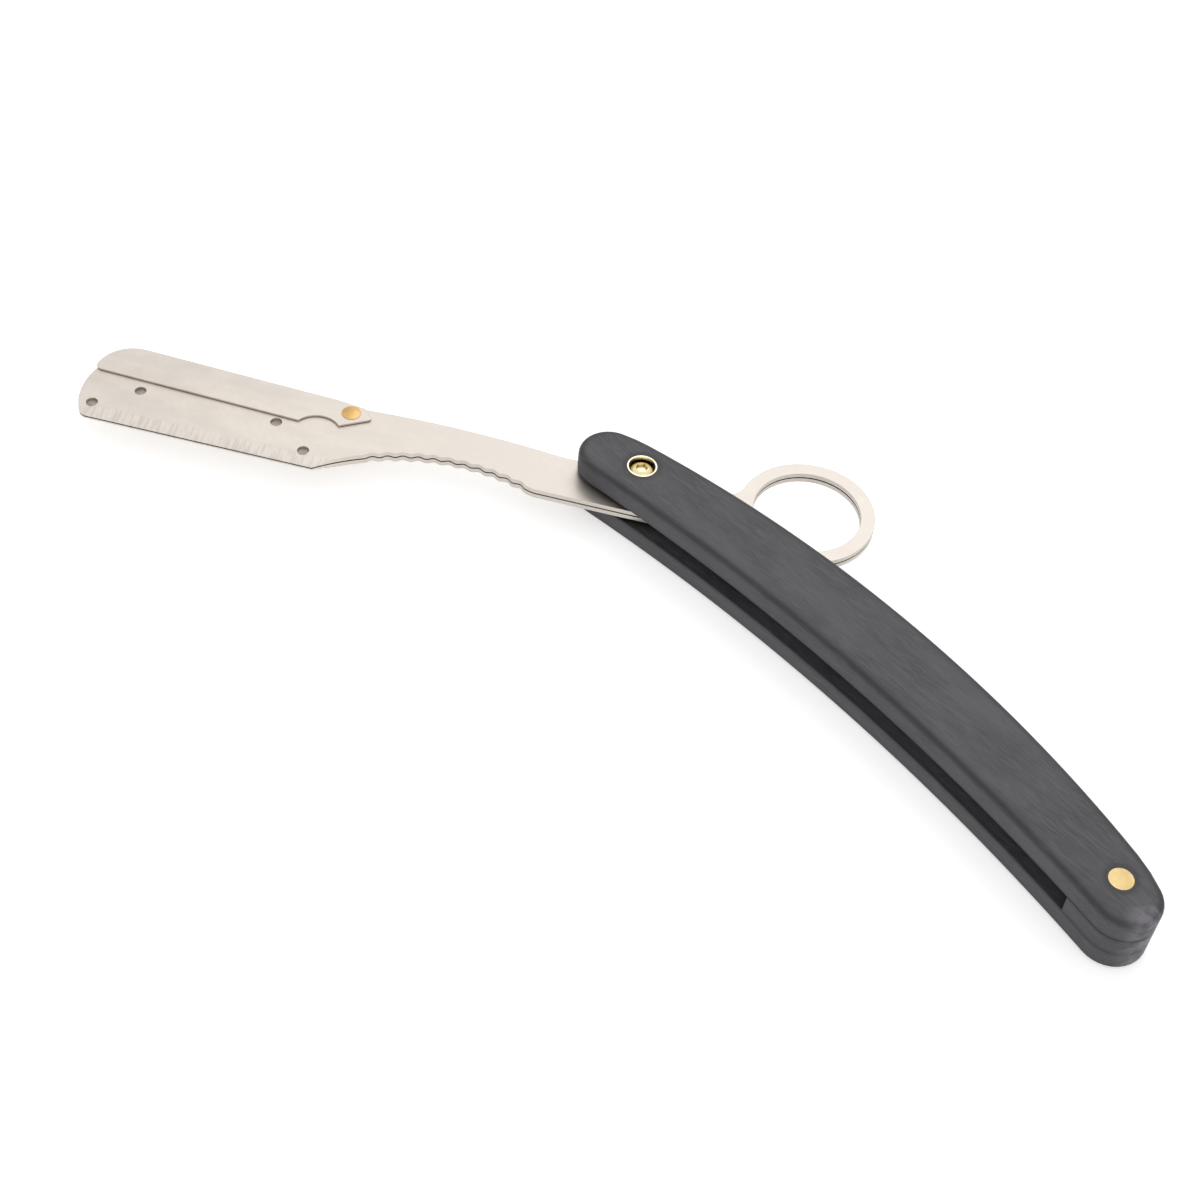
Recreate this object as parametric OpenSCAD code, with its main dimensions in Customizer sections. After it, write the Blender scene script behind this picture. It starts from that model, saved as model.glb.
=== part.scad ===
// Straight razor for half of a double-edge blade, with a finger ring and a swing lock.
// It lies on its lower scale. The origin is on the pivot axis, in the plane that the lower scale rests on.
// X runs from the pivot to the butt pin, Y towards the handle's convex back, Z up.

/* [Handle] */
// Distance from the pivot to the butt pin
pin_spacing = 117.7; // [100:0.1:145]
// Distance from the line through the pins to the convex back, at a pin
back_margin = 6.1; // [5:0.1:8]
// How much further the back stands out, halfway between the pins
back_rise = 6.85; // [4:0.05:9]
// Distance from the line through the pins to the concave belly, at a pin
belly_margin = 7.3; // [5.5:0.05:9]
// How far the belly draws in, halfway between the pins
belly_rise = 4.1; // [2:0.1:7]
// Distance from the pivot to the end of the rounded head
head_reach = 12.7; // [11:0.1:16]
// Radius of the head's round
head_r = 6; // [5:0.1:6.2]
// Distance from the butt pin to the end of the handle
butt_reach = 8.8; // [7:0.1:12]
// Radius of the butt's round
butt_r = 6.1; // [5:0.1:6.2]
// Radius that eases the back into both rounds
ease_r = 30; // [20:1:40]
// Thickness of one scale
scale_t = 4.4; // [3.6:0.1:7]
// Height of the slot between the scales
slot_h = 3.8; // [3.7:0.1:6]
// Rounding of a scale's outer shoulder
shoulder_r = 1.1; // [0.4:0.1:1.6]
// Break of the edges along the slot
edge_break = 0.15; // [0.05:0.05:0.4]
// Distance from the end of the slot to the butt pin
slot_end_gap = 4.4; // [3:0.1:8]

/* [Handle hardware] */
// Radius of the flush butt pin
butt_pin_r = 2.15; // [1.5:0.05:3]
// Radius of the barrel nut that carries the arm
barrel_r = 2.0; // [1.8:0.05:2.1]
// Radius of the screw's thread
thread_r = 1.22; // [1:0.02:1.4]
// Radius of both button heads
button_r = 2.27; // [2.2:0.01:2.4]
// Height of both button heads
button_h = 1.45; // [1.2:0.05:1.6]
// Width of the hexagon socket, flat to flat
hex_af = 2.2; // [1.5:0.1:2.5]
// Depth of the hexagon socket
hex_depth = 0.9; // [0.5:0.1:1]
// Outer radius of the cups in the counterbores
cup_r = 2.87; // [2.8:0.01:3.2]
// Wall and floor of the cups
cup_t = 0.3; // [0.2:0.05:0.35]
// Depth of the counterbores
cup_h = 1.9; // [1.8:0.1:2.4]
// Outer radius of the thrust washers
washer_r = 4.0; // [3:0.1:4.2]

/* [Arm] */
// Angle of the arm to the handle as it lies open
arm_angle = 35.4; // [0:0.1:60]
// Thickness of one leaf
leaf_t = 0.9; // [0.7:0.05:1.1]
// Gap between the leaves, which takes the blade
leaf_gap = 0.3; // [0.2:0.05:0.4]
// Distance from the pivot to the nose
nose_reach = 110.4; // [95:0.1:111]
// Radius of the nose's front
nose_r = 15; // [12:1:25]
// Distance from the line through the pivot down to the straight edge
edge_drop = 14.1; // [12:0.05:18]
// Radius of the corner between the nose and the straight edge
toe_r = 2.2; // [1:0.1:4]
// Width of the ground bevel along the straight edge
bevel_w = 2.8; // [2:0.1:3.5]
// Thickness that the bevel leaves at the straight edge
bevel_edge_t = 0.3; // [0.2:0.05:0.6]
// Radius of the arch under the shank, which starts at the heel
arch_r = 40.8; // [35:0.2:48]
// Distance from the pivot to the crown of the arch
arch_reach = 34.6; // [30:0.1:38]
// Distance from the line through the pivot down to the crown of the arch
arch_drop = 4.4; // [2.5:0.1:5]
// Radius of the convex turn between the arch and the tang
tang_turn_r = 6; // [3:0.5:9]
// Distance from the pivot to the highest point of the shank's back
crown_reach = 40; // [34:1:46]
// Height of the shank's back over the line through the pivot
crown_y = 4.15; // [4:0.05:6]
// Radius of the shank's back
crown_r = 211; // [180:1:260]
// Distance from the line through the pivot to the tang's back
tang_back = 2.8; // [2.8:0.1:4]
// Distance from the line through the pivot to the tang's belly
tang_belly = 7.3; // [5:0.1:8]

/* [Finger ring and jimping] */
// Distance from the pivot back to the ring's centre
ring_reach = 32.1; // [30:0.1:36]
// Height of the ring's centre over the line through the pivot
ring_y = 3.05; // [0:0.05:5]
// Inner radius of the finger ring
ring_r = 10.35; // [9:0.05:13]
// Width of the ring's band
ring_band = 2.65; // [2:0.05:4]
// Radius of the fillets between the tang and the ring
neck_fillet_r = 4; // [2:0.5:6]
// Number of thumb notches under the shank
notch_count = 11; // [6:1:14]
// Pitch of the thumb notches along the arch
notch_pitch = 2.95; // [2:0.05:3.2]
// Depth of the thumb notches
notch_depth = 0.45; // [0.2:0.05:0.8]

/* [Blade seat] */
// Distance from the pivot to the middle of the blade seat
seat_reach = 85.3; // [75:0.1:86]
// Spacing of the two outer locating bosses
outer_boss_spacing = 43; // [36:0.1:44]
// Spacing of the two inner locating bosses
inner_boss_spacing = 27.9; // [22:0.1:32]
// Height of the outer bosses over the straight edge
outer_boss_rise = 3.2; // [3:0.1:5]
// Height of the inner bosses over the outer bosses
inner_boss_rise = 5.8; // [4:0.1:7]
// Radius of the locating bosses
boss_r = 1.15; // [0.8:0.05:1.4]
// How far the bosses are pressed through the upper leaf
boss_h = 0.55; // [0.4:0.05:0.7]

/* [Swing lock] */
// Thickness of the lock's sheet
lock_t = 0.45; // [0.3:0.05:0.5]
// Height of the lock's spine over the line through the pivot, at the nose
spine_nose_y = 5.87; // [5.5:0.01:8]
// Height of the lock's spine at its rear end
spine_rear_y = 4.0; // [3.9:0.05:6]
// Distance from the pivot to the front end of the folded spine
spine_front_reach = 102.9; // [90:0.1:103]
// Distance from the pivot to the rear end of the folded spine
spine_rear_reach = 61.6; // [61:0.1:66]
// Height of the lower edge of the lock over the line through the pivot, at the nose (below is negative)
lip_nose_y = -1.98; // [-3:0.01:0]
// Height of the lower edge of the lock at the thumb notch
lip_rear_y = -3.65; // [-5:0.05:-2]
// Radius of the arched cut-out in front of the rivet
relief_r = 4.85; // [3:0.05:5.5]
// Distance from the pivot to the rivet
rivet_reach = 58.3; // [57:0.1:60]
// Height of the rivet over the line through the pivot
rivet_y = 1.35; // [1:0.05:2]
// Radius of the rivet's shank
rivet_r = 1.2; // [0.8:0.05:1.4]
// Radius of the rivet's domed heads
rivet_head_r = 1.87; // [1.6:0.01:2]
// Height of the rivet's domes
rivet_head_h = 0.2; // [0.15:0.05:0.3]

/* [Fits] */
// Radial clearance of the arm and the lock on their pivots
run_fit = 0.05; // [0.02:0.01:0.1]
// Radial clearance of pins and cups in their holes
set_fit = 0.02; // [0.01:0.01:0.05]
// Side clearance of a part that slides over a flat face
slide_fit = 0.04; // [0.02:0.01:0.08]

/* [Hidden] */
$fn = 96;

wood = [0.30, 0.29, 0.30];
fibre = [0.22, 0.21, 0.22];
steel = [0.85, 0.83, 0.80];
brass = [0.86, 0.72, 0.36];
bright = [0.93, 0.89, 0.78];

// a cut runs past the face that it opens by this much
past = 1;

// heights, from the resting plane up
slot_z = scale_t;
slot_top_z = slot_z + slot_h;
top_z = slot_top_z + scale_t;
mid_z = (slot_z + slot_top_z) / 2;
stack_h = 2 * leaf_t + leaf_gap;
lower_leaf_z = mid_z - stack_h / 2;
upper_leaf_z = mid_z + leaf_gap / 2;
lock_side_z = mid_z + stack_h / 2 + slide_fit;
washer_t = (slot_h - stack_h) / 2 - slide_fit;

// the handle's two long edges are arcs through the ends of their margins
function arc_radius(half_chord, rise) = (pow(half_chord, 2) + pow(rise, 2)) / (2 * rise);
mid_x = pin_spacing / 2;
back_arc_r = arc_radius(mid_x, back_rise);
belly_arc_r = arc_radius(mid_x, belly_rise);
back_centre = [mid_x, back_margin + back_rise - back_arc_r];
belly_centre = [mid_x, belly_rise - belly_margin - belly_arc_r];
function arc_y(centre, r, x) = centre[1] + sqrt(pow(r, 2) - pow(x - centre[0], 2));

// the round of each end touches the belly
function end_centre(x, r) =
    [x, belly_centre[1] + sqrt(pow(belly_arc_r + r, 2) - pow(x - belly_centre[0], 2))];
head_centre = end_centre(head_r - head_reach, head_r);
butt_centre = end_centre(pin_spacing + butt_reach - butt_r, butt_r);

// a larger arc touches the back and the round of the end; side is 1 at the butt and -1 at the head
function ease_centre(end, r, side) = let (
    d = norm(end - back_centre),
    p = back_arc_r - ease_r,
    q = ease_r - r,
    turn = acos((pow(d, 2) + pow(p, 2) - pow(q, 2)) / (2 * d * p))
) back_centre + p * dir(angle_of(end - back_centre) + side * turn);
head_ease = ease_centre(head_centre, head_r, -1);
butt_ease = ease_centre(butt_centre, butt_r, 1);

slot_end_x = pin_spacing - slot_end_gap;

// the arm's own frame: the pivot is its origin, X points along the blade edge from nose to tail, Y to the spine
nose_centre = [nose_r - nose_reach, -6];
toe_centre_y = toe_r - edge_drop;
toe_centre = [
    nose_centre[0] - sqrt(pow(nose_r - toe_r, 2) - pow(toe_centre_y - nose_centre[1], 2)),
    toe_centre_y
];
arch_centre = [-arch_reach, -arch_drop - arch_r];
heel_x = arch_centre[0] - sqrt(pow(arch_r, 2) - pow(edge_drop + arch_centre[1], 2));
turn_centre_y = tang_turn_r - tang_belly;
turn_centre = [
    arch_centre[0] + sqrt(pow(arch_r + tang_turn_r, 2) - pow(turn_centre_y - arch_centre[1], 2)),
    turn_centre_y
];
crown_centre = [-crown_reach, crown_y - crown_r];
crown_end_x = crown_centre[0] + sqrt(pow(crown_r, 2) - pow(tang_back - crown_centre[1], 2));
ring_centre = [ring_reach, ring_y];
ring_outer_r = ring_r + ring_band;

// the lock's outer lines; the leaves' spine lies under the web of its channel
spine_slope = (spine_nose_y - spine_rear_y) / (spine_front_reach - spine_rear_reach);
function spine_line(x) = spine_nose_y - spine_slope * (x + spine_front_reach);
lock_nose_r = nose_reach - spine_front_reach - 0.4;
lock_nose_centre = [-spine_front_reach, spine_nose_y - lock_nose_r];
web_seat = lock_t + slide_fit * 2;
seat_rear_x = -rivet_reach - 0.5;
crown_front_x = -rivet_reach + 4.2;
rivet_centre = [-rivet_reach, rivet_y];
relief_centre = [-rivet_reach - 4.8, rivet_y - 7.3];
shim_rivet_r = 2;
shim_pivot_r = tang_back - 0.1;

function dir(a) = [cos(a), sin(a)];
function angle_of(v) = atan2(v[1], v[0]);
function arc_points(centre, r, from, to, steps, first = 0) =
    [for (i = [first : steps]) centre + r * dir(from + (to - from) * i / steps)];

// ---- handle ----

// the outline of both scales, drawn in by inset, as one ring of points that runs anticlockwise from the
// tip of the head; the belly's half and the back's half have the same number of points
function handle_outline(inset) = let (
    belly_head = angle_of(head_centre - belly_centre),
    belly_butt = angle_of(butt_centre - belly_centre),
    back_butt = angle_of(butt_ease - back_centre),
    back_head = angle_of(head_ease - back_centre),
    ease_butt = angle_of(butt_centre - butt_ease),
    ease_head = angle_of(head_centre - head_ease)
) concat(
    arc_points(head_centre, head_r - inset, 184, belly_head + 180, 9),
    arc_points(belly_centre, belly_arc_r + inset, belly_head, belly_butt, 34, 1),
    arc_points(butt_centre, butt_r - inset, belly_butt - 180, -4, 9, 1),
    arc_points(butt_centre, butt_r - inset, 4, ease_butt, 6),
    arc_points(butt_ease, ease_r - inset, ease_butt, back_butt, 2, 1),
    arc_points(back_centre, back_arc_r - inset, back_butt, back_head, 34, 1),
    arc_points(head_ease, ease_r - inset, back_head, ease_head, 2, 1),
    arc_points(head_centre, head_r - inset, ease_head, 176, 8, 1)
);

// a solid from a stack of outlines that have the same number of points, each layer [inset, z]
module lofted_outline(layers) {
    rings = [for (l = layers) [for (p = handle_outline(l[0])) [p[0], p[1], l[1]]]];
    n = len(rings[0]);
    top = len(rings) - 1;
    rungs = [for (i = [0 : n / 2 - 2]) each [[i, i + 1, n - 2 - i], [i, n - 2 - i, n - 1 - i]]];
    polyhedron(
        points = [for (ring = rings) each ring],
        faces = concat(
            rungs,
            [for (f = rungs) [top * n + f[2], top * n + f[1], top * n + f[0]]],
            [for (k = [0 : top - 1], i = [0 : n - 1]) [k * n + i, (k + 1) * n + i, (k + 1) * n + (i + 1) % n]],
            [for (k = [0 : top - 1], i = [0 : n - 1]) [k * n + i, (k + 1) * n + (i + 1) % n, k * n + (i + 1) % n]]
        )
    );
}

// one scale with its slot face at z = 0 and its outer face up, with the holes for the pivot and the butt pin
module scale_blank() {
    shoulder_steps = 6;
    difference() {
        lofted_outline(concat(
            [[edge_break, 0], [0, edge_break]],
            [for (i = [0 : shoulder_steps])
                let (a = 90 * i / shoulder_steps)
                [shoulder_r * (1 - cos(a)), scale_t - shoulder_r * (1 - sin(a))]]
        ));
        translate([0, 0, -past]) cylinder(r = barrel_r + set_fit, h = scale_t + 2 * past);
        translate([0, 0, scale_t - cup_h]) cylinder(r = cup_r + set_fit, h = cup_h + past);
        translate([pin_spacing, 0, -past]) cylinder(r = butt_pin_r + set_fit, h = scale_t + 2 * past);
    }
}

module upper_scale() {
    color(wood) translate([0, 0, slot_top_z]) scale_blank();
}

module lower_scale() {
    color(wood) translate([0, 0, slot_z]) mirror([0, 0, 1]) scale_blank();
}

// fills the slot at the butt, flush with both scales
module butt_spacer() {
    height = belly_margin + back_margin + back_rise;
    color(fibre) translate([0, 0, slot_z]) difference() {
        linear_extrude(slot_h) intersection() {
            polygon(handle_outline(0));
            translate([slot_end_x, -height]) square([2 * height, 2 * height]);
        }
        translate([pin_spacing, 0, -past]) cylinder(r = butt_pin_r + set_fit, h = slot_h + 2 * past);
    }
}

module butt_pin() {
    color(brass) translate([pin_spacing, 0, 0]) cylinder(r = butt_pin_r, h = top_z);
}

// ---- pivot ----

// a low dome on a short straight rim, seated on z = 0
module domed_head(r, rim_h, dome_h) {
    dome_r = (pow(r, 2) + pow(dome_h, 2)) / (2 * dome_h);
    half = asin(r / dome_r);
    steps = 8;
    rotate_extrude() polygon(concat(
        [[0, 0], [r, 0]],
        [for (i = [0 : steps])
            let (a = half * (1 - i / steps))
            [dome_r * sin(a), rim_h + dome_h + dome_r * (cos(a) - 1)]]
    ));
}

module button_head() {
    rim_h = button_h * 0.35;
    difference() {
        domed_head(button_r, rim_h, button_h - rim_h);
        translate([0, 0, button_h - hex_depth]) cylinder(d = hex_af / cos(30), h = hex_depth + past, $fn = 6);
    }
}

head_seat_z = top_z - cup_h + cup_t;
thread_end_z = slot_z - 0.5;

module pivot_screw() {
    color(brass) union() {
        translate([0, 0, head_seat_z]) button_head();
        translate([0, 0, thread_end_z]) cylinder(r = thread_r, h = head_seat_z - thread_end_z);
    }
}

module pivot_barrel() {
    foot_z = top_z - head_seat_z;
    barrel_top_z = head_seat_z - slide_fit;
    color(brass) union() {
        translate([0, 0, foot_z]) mirror([0, 0, 1]) button_head();
        difference() {
            translate([0, 0, foot_z]) cylinder(r = barrel_r, h = barrel_top_z - foot_z);
            translate([0, 0, thread_end_z - past / 2])
                cylinder(r = thread_r + set_fit, h = barrel_top_z - thread_end_z + past);
        }
    }
}

module cup() {
    difference() {
        cylinder(r = cup_r, h = cup_h);
        translate([0, 0, cup_t]) cylinder(r = cup_r - cup_t, h = cup_h);
        translate([0, 0, -past]) cylinder(r = barrel_r + set_fit, h = cup_h);
    }
}

module upper_cup() {
    color(bright) translate([0, 0, top_z - cup_h]) cup();
}

module lower_cup() {
    color(bright) translate([0, 0, cup_h]) mirror([0, 0, 1]) cup();
}

module ring_disc(outer, inner, h) {
    difference() {
        cylinder(r = outer, h = h);
        translate([0, 0, -past]) cylinder(r = inner, h = h + 2 * past);
    }
}

module upper_washer() {
    color(brass) translate([0, 0, slot_top_z - washer_t]) ring_disc(washer_r, barrel_r + run_fit, washer_t);
}

module lower_washer() {
    color(brass) translate([0, 0, slot_z]) ring_disc(washer_r, barrel_r + run_fit, washer_t);
}

// ---- arm ----

// turns children from the arm's own frame to its open position
module on_arm() {
    rotate([0, 0, arm_angle]) children();
}

// distance from the arch's centre to its wavy edge: the notches fade out at both ends
notch_span = notch_count * notch_pitch / arch_r * 180 / PI;
notch_from = angle_of(turn_centre - arch_centre) + 0.5;
function arch_edge_r(a) = let (t = (a - notch_from) / notch_span)
    t < 0 || t > 1 ? arch_r : arch_r + notch_depth / 2 * (1 - cos(360 * notch_count * t));

// both leaves, anticlockwise from the heel
function leaf_outline() = let (
    heel_a = angle_of([heel_x, -edge_drop] - arch_centre),
    turn_a = angle_of(turn_centre - arch_centre),
    arch_steps = notch_count * 10,
    back_neck = [ring_centre[0] - sqrt(pow(ring_outer_r + neck_fillet_r, 2)
        - pow(tang_back + neck_fillet_r - ring_y, 2)), tang_back + neck_fillet_r],
    belly_neck = [ring_centre[0] - sqrt(pow(ring_outer_r + neck_fillet_r, 2)
        - pow(tang_belly + neck_fillet_r + ring_y, 2)), -tang_belly - neck_fillet_r],
    spine_r = lock_nose_r - web_seat
) concat(
    arc_points(arch_centre, arch_r, heel_a, notch_from + notch_span, 12),
    [for (i = [1 : arch_steps - 1])
        let (a = notch_from + notch_span * (1 - i / arch_steps))
        arch_centre + arch_edge_r(a) * dir(a)],
    [arch_centre + arch_r * dir(notch_from)],
    arc_points(turn_centre, tang_turn_r, turn_a + 180, 270, 5),
    arc_points(belly_neck, neck_fillet_r, 90, angle_of(ring_centre - belly_neck), 6),
    [ring_centre],
    arc_points(back_neck, neck_fillet_r, angle_of(ring_centre - back_neck), -90, 8),
    arc_points(crown_centre, crown_r, angle_of([crown_end_x, tang_back] - crown_centre),
        angle_of([crown_front_x, arc_y(crown_centre, crown_r, crown_front_x)] - crown_centre), 12),
    [[seat_rear_x, spine_line(seat_rear_x) - web_seat]],
    arc_points(lock_nose_centre, spine_r, 90 - atan(spine_slope), 172, 10),
    arc_points(nose_centre, nose_r, 162, 180 + atan2(nose_centre[1] - toe_centre[1],
        nose_centre[0] - toe_centre[0]), 12),
    arc_points(toe_centre, toe_r, 215, 270, 5)
);

module leaf_plate() {
    difference() {
        linear_extrude(leaf_t) difference() {
            union() {
                polygon(leaf_outline());
                translate(ring_centre) circle(r = ring_outer_r);
            }
            translate(ring_centre) circle(r = ring_r);
            circle(r = barrel_r + run_fit);
            translate(rivet_centre) circle(r = rivet_r + set_fit);
        }
        // the bevel is ground into the outer face along the straight edge
        translate([-nose_reach - past, -edge_drop, 0]) rotate([90, 0, 90])
            linear_extrude(nose_reach - arch_reach) polygon([
                [bevel_w, leaf_t], [0, bevel_edge_t],
                [-past, bevel_edge_t - past * (leaf_t - bevel_edge_t) / bevel_w],
                [-past, leaf_t + past], [bevel_w, leaf_t + past]
            ]);
    }
}

module at_bosses() {
    boss_y = outer_boss_rise - edge_drop;
    for (side = [-1, 1]) {
        translate([-seat_reach + side * outer_boss_spacing / 2, boss_y]) children();
        translate([-seat_reach + side * inner_boss_spacing / 2, boss_y + inner_boss_rise]) children();
    }
}

// the bosses are pressed halfway out of the sheet, which leaves a recess behind each
module upper_leaf() {
    color(steel) on_arm() translate([0, 0, upper_leaf_z]) difference() {
        union() {
            leaf_plate();
            at_bosses() translate([0, 0, -boss_h]) cylinder(r = boss_r, h = boss_h + leaf_t / 4);
        }
        at_bosses() translate([0, 0, leaf_t - boss_h]) cylinder(r = boss_r, h = boss_h + past);
    }
}

module lower_leaf() {
    color(steel) on_arm() translate([0, 0, lower_leaf_z + leaf_t]) mirror([0, 0, 1]) difference() {
        leaf_plate();
        at_bosses() translate([0, 0, -past]) cylinder(r = boss_r + run_fit, h = leaf_t + 2 * past);
    }
}

module leaf_shims() {
    color(steel) on_arm() translate([0, 0, mid_z - leaf_gap / 2]) {
        ring_disc(shim_pivot_r, barrel_r + run_fit, leaf_gap);
        translate(rivet_centre) ring_disc(shim_rivet_r, rivet_r + set_fit, leaf_gap);
    }
}

module lock_rivet() {
    head_z = lock_side_z + lock_t + slide_fit / 2;
    color(brass) on_arm() translate(rivet_centre) {
        translate([0, 0, 2 * mid_z - head_z]) cylinder(r = rivet_r, h = 2 * (head_z - mid_z));
        translate([0, 0, head_z]) domed_head(rivet_head_r, rivet_head_h / 4, rivet_head_h * 3 / 4);
        translate([0, 0, 2 * mid_z - head_z]) mirror([0, 0, 1])
            domed_head(rivet_head_r, rivet_head_h / 4, rivet_head_h * 3 / 4);
    }
}

// ---- swing lock ----

// one cheek, anticlockwise from the lower corner of the nose
function cheek_outline() = let (
    relief_front = 180 - asin((lip_rear_y - relief_centre[1]) / relief_r),
    tip = rivet_centre + [4.1, -0.6]
) concat(
    [[-nose_reach + 1.3, lip_nose_y]],
    arc_points(relief_centre, relief_r, relief_front, 42, 14),
    arc_points(tip + [-0.5, 0.2], 0.5, -58, 22, 4),
    [rivet_centre + [2.2, spine_rear_y - rivet_y - 0.7]],
    [[-spine_rear_reach, spine_rear_y]],
    arc_points(lock_nose_centre, lock_nose_r, 90 - atan(spine_slope), 180, 12)
);

module swing_lock() {
    web_under = web_seat - slide_fit;
    color(steel) on_arm() difference() {
        union() {
            for (z = [lock_side_z, 2 * mid_z - lock_side_z - lock_t])
                translate([0, 0, z]) linear_extrude(lock_t) polygon(cheek_outline());
            translate([0, 0, 2 * mid_z - lock_side_z - lock_t])
                linear_extrude(2 * (lock_side_z + lock_t - mid_z)) polygon([
                    [-spine_front_reach, spine_nose_y - web_under],
                    [-spine_rear_reach, spine_rear_y - web_under],
                    [-spine_rear_reach, spine_rear_y],
                    [-spine_front_reach, spine_nose_y]
                ]);
        }
        translate([rivet_centre[0], rivet_centre[1], -past]) cylinder(r = rivet_r + run_fit, h = top_z + 2 * past);
    }
}

upper_scale();
lower_scale();
butt_spacer();
butt_pin();
pivot_screw();
pivot_barrel();
upper_cup();
lower_cup();
upper_washer();
lower_washer();
upper_leaf();
lower_leaf();
leaf_shims();
swing_lock();
lock_rivet();
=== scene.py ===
"""Looks of the straight razor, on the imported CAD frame. Metres, in the part's own frame."""
import math

import bpy
from mathutils import Matrix, Vector


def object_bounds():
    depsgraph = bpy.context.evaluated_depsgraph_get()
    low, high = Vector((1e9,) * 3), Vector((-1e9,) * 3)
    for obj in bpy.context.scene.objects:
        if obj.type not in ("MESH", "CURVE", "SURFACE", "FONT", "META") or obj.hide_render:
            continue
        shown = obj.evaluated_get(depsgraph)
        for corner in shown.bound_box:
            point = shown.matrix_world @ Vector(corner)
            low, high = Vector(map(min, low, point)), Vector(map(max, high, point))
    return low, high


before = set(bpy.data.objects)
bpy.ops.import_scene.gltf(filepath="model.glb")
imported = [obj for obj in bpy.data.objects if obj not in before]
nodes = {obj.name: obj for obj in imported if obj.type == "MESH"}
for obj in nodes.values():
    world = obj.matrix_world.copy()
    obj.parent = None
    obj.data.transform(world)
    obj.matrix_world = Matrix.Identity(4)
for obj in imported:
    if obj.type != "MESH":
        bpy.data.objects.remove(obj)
cad_box = [list(v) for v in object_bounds()]


def rgb(r, g, b):
    """An 8-bit sRGB colour as the linear value that a socket takes."""
    def linear(v):
        return v / 12.92 if v <= 0.04045 else ((v + 0.055) / 1.055) ** 2.4
    return tuple(linear(v / 255) for v in (r, g, b)) + (1.0,)


# ---- sizes and places that the finishes follow ----

ARM_ANGLE = math.radians(35.4)               # how far the arm is turned about Z at rest
GRAIN_ANGLE = math.radians(2)                # the wood's grain runs almost along the handle
BUTT_CORNER_X = cad_box[1][0] - 0.0006       # the rubbed corner of the butt
BUTT_CORNER_Y = -0.0022
SCUFF_FAR, SCUFF_NEAR = 0.0052, 0.0012       # distance from that corner where the rubbing ends and is full
LAYER_TURN = 9800.0                          # radians per metre of height: a glue line every 0.64 mm
SHOULDER_EASE = 0.0024                       # how far the band of painted shade reaches in from the wood's edges
SLOT_DEPTH = 0.004                           # how near a wall has to be for painted shade to darken the wood in the slot
HOLDER_X, SHANK_X = -0.075, -0.015           # along the arm: painted paler up to the first, painted greyer from the second
GROUND_Y = (-0.0118, -0.0130)                # across the arm: where the ground band begins and is full
GROUND_X = (-0.056, -0.060)                  # along the arm: the same at the band's heel end
GROUND_RAGGED = -0.0016                      # how far the strokes push the band's border about
BOSS_FLOOR_Z = 0.0068                        # height of the pressed bosses' floors in the upper leaf
BOSS_FLOOR_OUTER, BOSS_FLOOR_INNER = 0.00008, 0.00004
STEEL_EDGE, METAL_EDGE = 0.00012, 0.00008    # radius of the highlight on sharp edges
# how far the painted crevice shade reaches on the steel and on the other metal
STEEL_CREVICE_DEPTH, METAL_CREVICE_DEPTH = 0.00045, 0.0009
WELD_DISTANCE = 2e-6
SMOOTH_UP_TO = math.radians(32)

# ---- colours ----

WOOD_DARK, WOOD_LIGHT = rgb(62, 60, 64), rgb(90, 88, 92)
WOOD_STREAK, WOOD_CLOUD = rgb(66, 64, 68), rgb(94, 92, 94)
GLUE_DARK, GLUE_LIGHT = rgb(48, 47, 52), rgb(92, 90, 96)
# painted shade for the shoulders, and the real brown of their wear
SHOULDER_PAINTED_SHADE, WORN_BROWN = rgb(36, 35, 38), rgb(100, 88, 80)
SCUFF_PALE, SPECK_PALE, SLOT_PAINTED_SHADE = rgb(134, 132, 138), rgb(176, 172, 168), rgb(14, 13, 15)
# painted light: the steel paler at the holder end and greyer at the shank end, each with faint clouds
STEEL_PAINTED_LIT_END = rgb(210, 202, 193), rgb(219, 211, 202)
STEEL_PAINTED_SHADED_END = rgb(199, 192, 184), rgb(207, 200, 192)
STEEL_PIT, STEEL_CREVICE_SHADE = rgb(208, 200, 192), rgb(92, 86, 80)
GROUND_PALE, GROUND_STROKE, BOSS_FLOOR_SHADE = rgb(226, 219, 211), rgb(194, 186, 178), rgb(140, 133, 126)
METAL_CREVICE_SHADE = rgb(58, 48, 34)


# ---- node tree helpers ----

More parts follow.
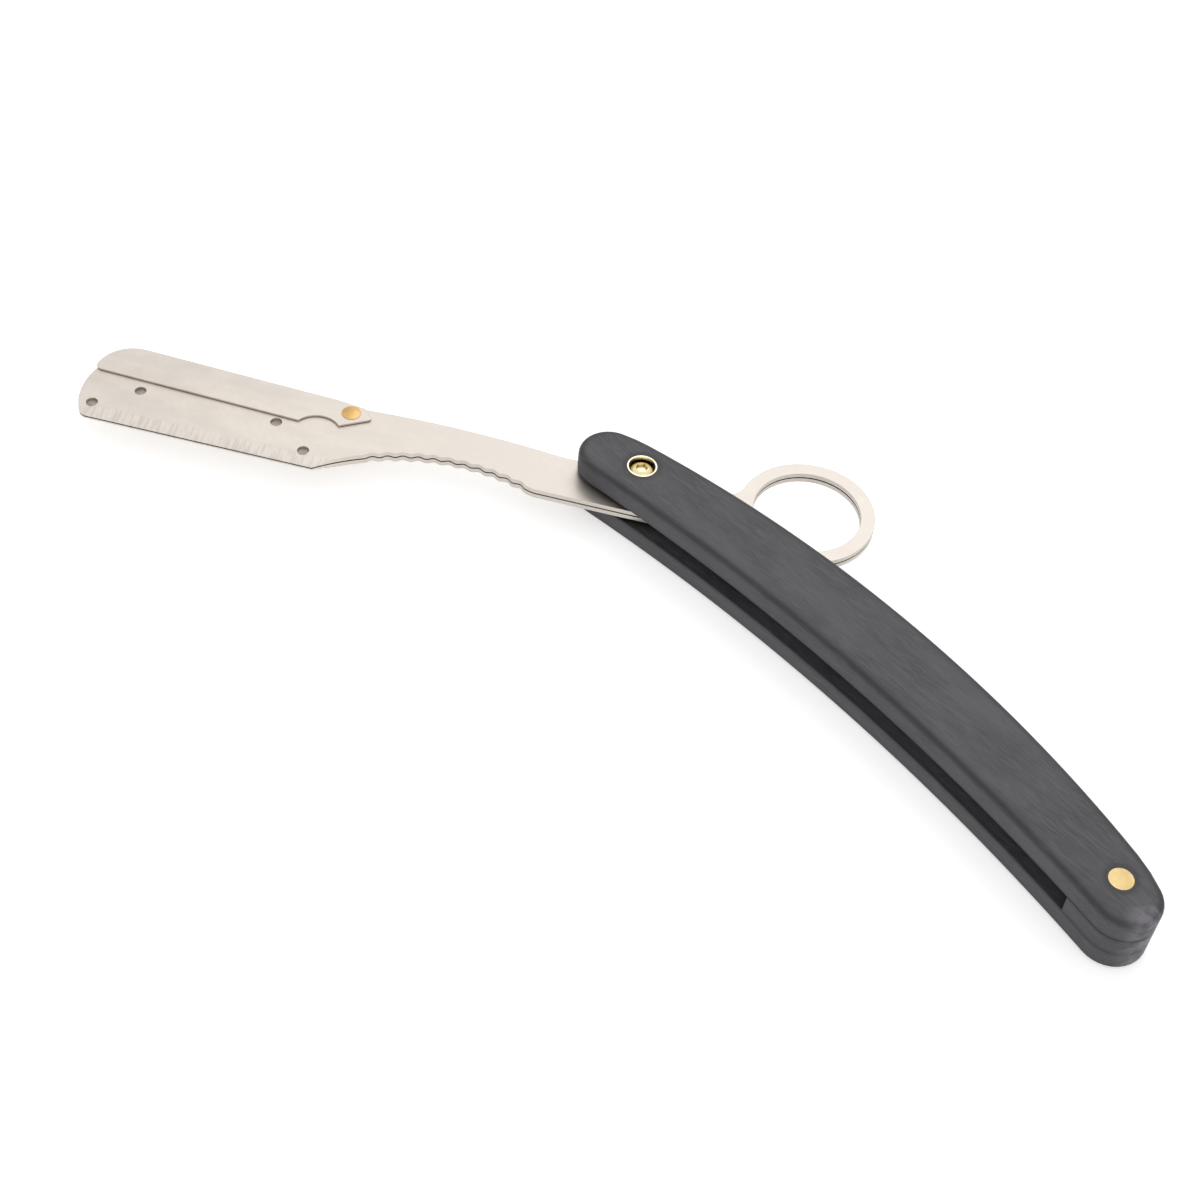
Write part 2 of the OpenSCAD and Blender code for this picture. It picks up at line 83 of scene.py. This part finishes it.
class Tree:
    """A material's node tree, with short calls for the nodes that the finishes use."""

    def __init__(self, name):
        self.mat = bpy.data.materials.new(name)
        self.mat.use_nodes = True
        self.nt = self.mat.node_tree
        self.nt.nodes.clear()
        self.out = self.nt.nodes.new("ShaderNodeOutputMaterial")

    def node(self, kind, **values):
        n = self.nt.nodes.new(kind)
        for key, value in values.items():
            setattr(n, key, value)
        return n

    def put(self, socket, value):
        if isinstance(value, bpy.types.NodeSocket):
            self.nt.links.new(value, socket)
        elif value is not None:
            socket.default_value = value

    def coords(self, scale=(1, 1, 1), turn=0.0, shift=(0, 0, 0)):
        """The piece's own coordinates, turned by -turn about Z, then scaled and shifted."""
        tex = self.node("ShaderNodeTexCoord")
        turned = self.node("ShaderNodeMapping", vector_type="POINT")
        self.put(turned.inputs["Vector"], tex.outputs["Object"])
        turned.inputs["Rotation"].default_value = (0, 0, -turn)
        scaled = self.node("ShaderNodeMapping", vector_type="POINT")
        self.put(scaled.inputs["Vector"], turned.outputs["Vector"])
        scaled.inputs["Scale"].default_value = scale
        scaled.inputs["Location"].default_value = shift
        return scaled.outputs["Vector"]

    def noise(self, vector, detail, rough=0.55):
        n = self.node("ShaderNodeTexNoise")
        self.put(n.inputs["Vector"], vector)
        n.inputs["Scale"].default_value = 1.0
        n.inputs["Detail"].default_value = detail
        n.inputs["Roughness"].default_value = rough
        return n.outputs["Fac"]

    def axis(self, vector, which):
        s = self.node("ShaderNodeSeparateXYZ")
        self.put(s.inputs[0], vector)
        return s.outputs[which]

    def math(self, op, a, b=None, c=None):
        n = self.node("ShaderNodeMath", operation=op)
        for socket, value in zip(n.inputs, (a, b, c)):
            self.put(socket, value)
        return n.outputs[0]

    def times(self, a, b):
        return self.math("MULTIPLY", a, b)

    def span(self, value, lo, hi, to_lo=0.0, to_hi=1.0, smooth=True):
        """to_lo where value is lo or beyond, to_hi where it is hi or beyond; lo may be the larger."""
        n = self.node("ShaderNodeMapRange", interpolation_type="SMOOTHSTEP" if smooth else "LINEAR")
        self.put(n.inputs["Value"], value)
        for key, x in (("From Min", lo), ("From Max", hi), ("To Min", to_lo), ("To Max", to_hi)):
            n.inputs[key].default_value = x
        return n.outputs["Result"]

    def mix(self, fac, a, b):
        n = self.node("ShaderNodeMix", data_type="RGBA", blend_type="MIX")
        self.put(n.inputs[0], fac)
        self.put(n.inputs[6], a)
        self.put(n.inputs[7], b)
        return n.outputs[2]

    def bump(self, height, strength, distance, normal=None):
        n = self.node("ShaderNodeBump")
        n.inputs["Strength"].default_value = strength
        n.inputs["Distance"].default_value = distance
        self.put(n.inputs["Height"], height)
        self.put(n.inputs["Normal"], normal)
        return n.outputs["Normal"]

    def soft_edges(self, radius):
        n = self.node("ShaderNodeBevel", samples=6)
        n.inputs["Radius"].default_value = radius
        return n.outputs["Normal"]

    def facing(self):
        """The Z part of the surface's direction: 1 facing up, -1 facing down, 0 on a wall."""
        return self.axis(self.node("ShaderNodeNewGeometry").outputs["Normal"], 2)

    def crevice_shade(self, distance, lo, hi):
        """A mask for painted shade: 0 deep in a corner, slot or recess, 1 in the open."""
        n = self.node("ShaderNodeAmbientOcclusion", samples=6)
        n.inputs["Distance"].default_value = distance
        return self.span(n.outputs["AO"], lo, hi)

    def surface(self, **values):
        p = self.node("ShaderNodeBsdfPrincipled")
        for key, value in values.items():
            self.put(p.inputs[key.replace("_", " ")], value)
        self.nt.links.new(p.outputs[0], self.out.inputs["Surface"])
        return self.mat


# ---- wood ----

def shoulder_shade_and_wear(t, col):
    """Painted shade on the rounded shoulders, with real brown wear rubbed in places."""
    eased = t.math("ABSOLUTE", t.axis(t.soft_edges(SHOULDER_EASE), 2))
    shoulder_shade = t.times(t.span(eased, 0.35, 0.6), t.span(eased, 0.9995, 0.93))
    # painted shade: the rounded shoulders darkened
    col = t.mix(t.times(shoulder_shade, 0.82), col, SHOULDER_PAINTED_SHADE)
    rub = t.noise(t.coords((150, 700, 700), 0, (9, 2, 5)), 3, 0.6)
    ridge = t.times(t.span(eased, 0.62, 0.72), t.span(eased, 0.9, 0.8))
    worn = t.times(t.span(rub, 0.53, 0.68), ridge)
    return t.mix(t.times(worn, 0.6), col, WORN_BROWN)


def wood_glue_lines(t, col, z):
    """Dark and pale lines of the laminate, slightly uneven, on the walls only."""
    wall = t.span(t.math("ABSOLUTE", t.facing()), 0.5, 0.1)
    wobble = t.noise(t.coords((60, 60, 60)), 2)
    layer = t.math("SINE", t.math("MULTIPLY_ADD", z, LAYER_TURN, t.times(wobble, 9.0)))
    col = t.mix(t.times(wall, t.span(layer, 0.55, 1.0, 0, 0.45)), col, GLUE_DARK)
    return t.mix(t.times(wall, t.span(layer, -0.6, -1.0, 0, 0.3)), col, GLUE_LIGHT)


def wood_scuff(t, col, x, y):
    """The corner of the butt, rubbed paler."""
    dx = t.math("SUBTRACT", x, BUTT_CORNER_X)
    dy = t.math("SUBTRACT", y, BUTT_CORNER_Y)
    near = t.math("SQRT", t.math("ADD", t.times(dx, dx), t.math("POWER", dy, 2.0)))
    uneven = t.noise(t.coords((260, 260, 420)), 4, 0.6)
    scuff = t.times(t.span(near, SCUFF_FAR, SCUFF_NEAR), t.span(uneven, 0.38, 0.62))
    return t.mix(t.times(scuff, 0.7), col, SCUFF_PALE)


def wood_specks(t, col):
    """A few pale specks: small dots in one cell in ten."""
    dots = t.node("ShaderNodeTexVoronoi", feature="F1")
    t.put(dots.inputs["Vector"], t.coords((230, 230, 230)))
    dots.inputs["Scale"].default_value = 1.0
    pick = t.node("ShaderNodeSeparateColor")
    t.put(pick.inputs[0], dots.outputs["Color"])
    dot = t.span(dots.outputs["Distance"], 0.05, 0.03)
    speck = t.times(dot, t.span(pick.outputs[0], 0.9, 0.92))
    return t.mix(t.times(speck, 0.6), col, SPECK_PALE)


def black_wood(name):
    """Near-black laminated wood with fine grain along the handle."""
    t = Tree(name)
    fine = t.noise(t.coords((330, 3600, 3600), GRAIN_ANGLE), 4, 0.65)
    broad = t.noise(t.coords((60, 700, 700), GRAIN_ANGLE, (3, 7, 1)), 3, 0.55)
    cloud = t.noise(t.coords((70, 160, 160), 0, (1, 4, 2)), 4, 0.6)
    place = t.coords()
    x, y, z = (t.axis(place, i) for i in range(3))
    col = t.mix(t.span(fine, 0.36, 0.64), WOOD_DARK, WOOD_LIGHT)
    col = t.mix(t.span(broad, 0.4, 0.62, 0, 0.45), col, WOOD_STREAK)
    col = t.mix(t.span(cloud, 0.36, 0.7, 0, 0.6), col, WOOD_CLOUD)
    col = wood_glue_lines(t, col, z)
    col = shoulder_shade_and_wear(t, col)
    col = wood_scuff(t, col, x, y)
    col = wood_specks(t, col)
    # painted shade: the wood darkened deep in the slot and other hollows
    col = t.mix(t.crevice_shade(SLOT_DEPTH, 0.15, 0.85), SLOT_PAINTED_SHADE, col)
    rough = t.span(fine, 0.3, 0.7, 0.46, 0.6, False)
    normal = t.bump(fine, 0.35, 0.00006)
    normal = t.bump(broad, 0.25, 0.00012, normal)
    return t.surface(Base_Color=col, Roughness=rough, Normal=normal, IOR=1.45)


# ---- steel and brass ----

def ground_band(t, col, normal):
    """The ground band along the holder's straight edge, with strokes across it."""
    own = t.coords(turn=ARM_ANGLE)
    strokes = t.noise(t.coords((1100, 160, 160), ARM_ANGLE), 3, 0.6)
    border = t.math("MULTIPLY_ADD", strokes, GROUND_RAGGED, t.axis(own, 1))
    mask = t.times(t.span(border, *GROUND_Y), t.span(t.axis(own, 0), *GROUND_X))
    col = t.mix(t.times(mask, 0.5), col, GROUND_PALE)
    col = t.mix(t.times(mask, t.span(strokes, 0.44, 0.6, 0, 0.5)), col, GROUND_STROKE)
    return col, t.bump(t.times(strokes, mask), 0.35, 0.00006, normal)


def shade_boss_floors(t, col, pits):
    """Painted shade on the floors of the pressed bosses, picked out by their height. Only the upper leaf has
    them.
    """
    z = t.axis(t.coords(turn=ARM_ANGLE), 2)
    over = t.span(z, BOSS_FLOOR_Z - BOSS_FLOOR_OUTER, BOSS_FLOOR_Z - BOSS_FLOOR_INNER)
    under = t.span(z, BOSS_FLOOR_Z + BOSS_FLOOR_OUTER, BOSS_FLOOR_Z + BOSS_FLOOR_INNER)
    floor = t.times(t.span(t.facing(), 0.99, 0.999), t.times(over, under))
    # painted shade in the boss recesses, uneven with the pits
    return t.mix(t.times(floor, t.span(pits, 0.3, 0.7, 0.95, 0.6)), col, BOSS_FLOOR_SHADE)


def steel(name, leaf=False):
    """Tumbled satin stainless with soft pits and faint clouds, a painted light gradient along the arm and
    painted shade in its crevices. A leaf has a ground edge and bosses too, with painted shade on the boss
    floors.
    """
    t = Tree(name)
    pits = t.noise(t.coords((950, 950, 950), ARM_ANGLE), 4, 0.6)
    cloud = t.noise(t.coords((120, 260, 200), ARM_ANGLE, (2, 5, 0)), 3, 0.5)
    along = t.axis(t.coords(turn=ARM_ANGLE), 0)
    cloudy = t.span(cloud, 0.3, 0.72)
    # painted light gradient along the arm: paler towards the holder, greyer towards the shank
    col = t.mix(t.span(along, HOLDER_X, SHANK_X), t.mix(cloudy, *STEEL_PAINTED_LIT_END), t.mix(cloudy, *STEEL_PAINTED_SHADED_END))
    col = t.mix(t.span(pits, 0.35, 0.7, 0, 0.4), col, STEEL_PIT)
    # painted shade: the steel darkened in crevices, gaps and under the lock's lip
    col = t.mix(t.crevice_shade(STEEL_CREVICE_DEPTH, 0.25, 0.85), STEEL_CREVICE_SHADE, col)
    rough = t.span(cloud, 0.3, 0.7, 0.36, 0.46, False)
    normal = t.bump(pits, 0.22, 0.00005, t.soft_edges(STEEL_EDGE))
    if leaf:
        col, normal = ground_band(t, col, normal)
        col = shade_boss_floors(t, col, pits)
    return t.surface(Base_Color=col, Metallic=1.0, Roughness=rough, Normal=normal)


def metal(name, dark, light, rough_lo, rough_hi, scale, bump):
    """Plain metal with small variation in colour and polish, and painted shade in its crevices."""
    t = Tree(name)
    grain = t.noise(t.coords((scale, scale, scale)), 4, 0.6)
    cloud = t.noise(t.coords((scale / 4, scale / 3, scale / 4), 0, (1, 2, 3)), 2, 0.5)
    col = t.mix(t.span(cloud, 0.35, 0.65), dark, light)
    # painted shade: the metal darkened in cups, sockets and gaps
    col = t.mix(t.crevice_shade(METAL_CREVICE_DEPTH, 0.2, 0.75), METAL_CREVICE_SHADE, col)
    rough = t.span(grain, 0.3, 0.7, rough_lo, rough_hi, False)
    normal = t.bump(grain, bump, 0.00004, t.soft_edges(METAL_EDGE))
    return t.surface(Base_Color=col, Metallic=1.0, Roughness=rough, Normal=normal)


finishes = {
    "upper_scale": black_wood("black_wood_upper"),
    "lower_scale": black_wood("black_wood_lower"),
    "butt_spacer": black_wood("black_fibre"),
    "upper_leaf": steel("satin_steel_upper", leaf=True),
    "lower_leaf": steel("satin_steel_lower", leaf=True),
    "leaf_shims": steel("ground_steel"),
    "swing_lock": steel("satin_steel_lock"),
    "butt_pin": metal("satin_brass_pin", rgb(200, 176, 124), rgb(214, 190, 138), 0.38, 0.5, 1100, 0.3),
    "pivot_screw": metal("polished_brass_screw", rgb(238, 222, 176), rgb(246, 234, 196), 0.1, 0.2, 900, 0.08),
    "lock_rivet": metal("satin_brass_rivet", rgb(198, 158, 98), rgb(216, 178, 118), 0.3, 0.42, 900, 0.15),
    "upper_cup": metal("bright_cup_upper", rgb(226, 214, 184), rgb(242, 234, 210), 0.15, 0.25, 900, 0.06),
    "upper_washer": metal("satin_brass_washer", rgb(205, 180, 120), rgb(222, 200, 146), 0.35, 0.5, 900, 0.1),
}
finishes["pivot_barrel"] = finishes["pivot_screw"]
finishes["lower_cup"] = finishes["upper_cup"]
finishes["lower_washer"] = finishes["upper_washer"]


# ---- the CAD nodes' shading: welded, smooth over small angles, sharp over large ones ----

for name, obj in nodes.items():
    me = obj.data
    if "custom_normal" in me.attributes:
        me.attributes.remove(me.attributes["custom_normal"])
    me.polygons.foreach_set("use_smooth", [True] * len(me.polygons))
    weld = obj.modifiers.new("weld", "WELD")
    weld.merge_threshold = WELD_DISTANCE
    split = obj.modifiers.new("split", "EDGE_SPLIT")
    split.split_angle = SMOOTH_UP_TO
    me.materials.clear()
    me.materials.append(finishes[name])


# ---- floor and world: white to the camera, softer as a light ----

def white_where_seen(nt, seen, plain):
    """A strength: seen for camera, glossy and transmission rays, plain for every other ray."""
    path = nt.nodes.new("ShaderNodeLightPath")
    any_of = path.outputs["Is Camera Ray"]
    for ray in ("Is Glossy Ray", "Is Transmission Ray"):
        either = nt.nodes.new("ShaderNodeMath")
        either.operation = "MAXIMUM"
        nt.links.new(any_of, either.inputs[0])
        nt.links.new(path.outputs[ray], either.inputs[1])
        any_of = either.outputs[0]
    strength = nt.nodes.new("ShaderNodeMapRange")
    nt.links.new(any_of, strength.inputs["Value"])
    strength.inputs["To Min"].default_value = plain
    strength.inputs["To Max"].default_value = seen
    return strength.outputs["Result"]


FLOOR_HALF = 3.0
FLOOR_DROP = 0.00002                         # just under the lower scale, so the two don't flicker
FLOOR_GREY, FLOOR_GLOW = 0.82, 0.52
SKY_SEEN, SKY_LIGHT = 1.0, 0.7

corners = [(-FLOOR_HALF, -FLOOR_HALF, 0), (FLOOR_HALF, -FLOOR_HALF, 0),
           (FLOOR_HALF, FLOOR_HALF, 0), (-FLOOR_HALF, FLOOR_HALF, 0)]
floor_mesh = bpy.data.meshes.new("floor")
floor_mesh.from_pydata(corners, [], [(0, 1, 2, 3)])
floor = bpy.data.objects.new("floor", floor_mesh)
floor.location.z = -FLOOR_DROP
bpy.context.scene.collection.objects.link(floor)
pale = Tree("pale_floor")
add = pale.node("ShaderNodeAddShader")
diffuse = pale.node("ShaderNodeBsdfDiffuse")
diffuse.inputs["Color"].default_value = (FLOOR_GREY, FLOOR_GREY, FLOOR_GREY, 1)
glow = pale.node("ShaderNodeEmission")
pale.put(glow.inputs["Strength"], white_where_seen(pale.nt, FLOOR_GLOW, 0.0))
pale.put(add.inputs[0], diffuse.outputs[0])
pale.put(add.inputs[1], glow.outputs[0])
pale.put(pale.out.inputs["Surface"], add.outputs[0])
floor_mesh.materials.append(pale.mat)

world = bpy.data.worlds.new("studio")
bpy.context.scene.world = world
world.use_nodes = True
wt = world.node_tree
wt.nodes.clear()
sky = wt.nodes.new("ShaderNodeBackground")
sky.inputs["Color"].default_value = (1.0, 1.0, 1.0, 1)
wt.links.new(white_where_seen(wt, SKY_SEEN, SKY_LIGHT), sky.inputs["Strength"])
wt.links.new(sky.outputs[0], wt.nodes.new("ShaderNodeOutputWorld").inputs["Surface"])


# ---- lamps ----

def area(name, place, aim, size, power):
    lamp = bpy.data.lights.new(name, "AREA")
    lamp.shape = "SQUARE"
    lamp.size = size
    lamp.energy = power
    obj = bpy.data.objects.new(name, lamp)
    bpy.context.scene.collection.objects.link(obj)
    obj.location = place
    obj.rotation_mode = "QUATERNION"
    obj.rotation_quaternion = (Vector(aim) - Vector(place)).to_track_quat("-Z", "Y")


centre = (Vector(cad_box[0]) + Vector(cad_box[1])) / 2
area("key", (centre.x - 0.25, centre.y + 0.45, 0.7), centre, size=0.6, power=1.1)
area("fill", (centre.x + 0.5, centre.y - 0.3, 0.6), centre, size=0.8, power=0.4)


# ---- camera ----

CAMERA_AT = Vector((0.18994, -0.19595, 0.27685))
CAMERA_HEADING = Vector((-0.7099, 0.7043, 0))
CAMERA_TILT = math.radians(48.0126)          # looking down from level
CAMERA_ROLL = math.radians(5.9048)
SENSOR_MM, LENS_MM = 36, 60.12

ahead = CAMERA_HEADING.normalized()
right = Vector((ahead.y, -ahead.x, 0))
forward = ahead * math.cos(CAMERA_TILT) - Vector((0, 0, math.sin(CAMERA_TILT)))
up = ahead * math.sin(CAMERA_TILT) + Vector((0, 0, math.cos(CAMERA_TILT)))
cam_right = right * math.cos(CAMERA_ROLL) + up * math.sin(CAMERA_ROLL)
cam_up = up * math.cos(CAMERA_ROLL) - right * math.sin(CAMERA_ROLL)
cam = bpy.data.cameras.new("camera")
cam.sensor_width = SENSOR_MM
cam.lens = LENS_MM
cam.clip_start, cam.clip_end = 0.01, 20
cam_obj = bpy.data.objects.new("camera", cam)
bpy.context.scene.collection.objects.link(cam_obj)
turned = Matrix((cam_right, cam_up, -forward)).transposed().to_4x4()
cam_obj.matrix_world = Matrix.Translation(CAMERA_AT) @ turned
bpy.context.scene.camera = cam_obj
bpy.context.scene.view_settings.view_transform = "Standard"
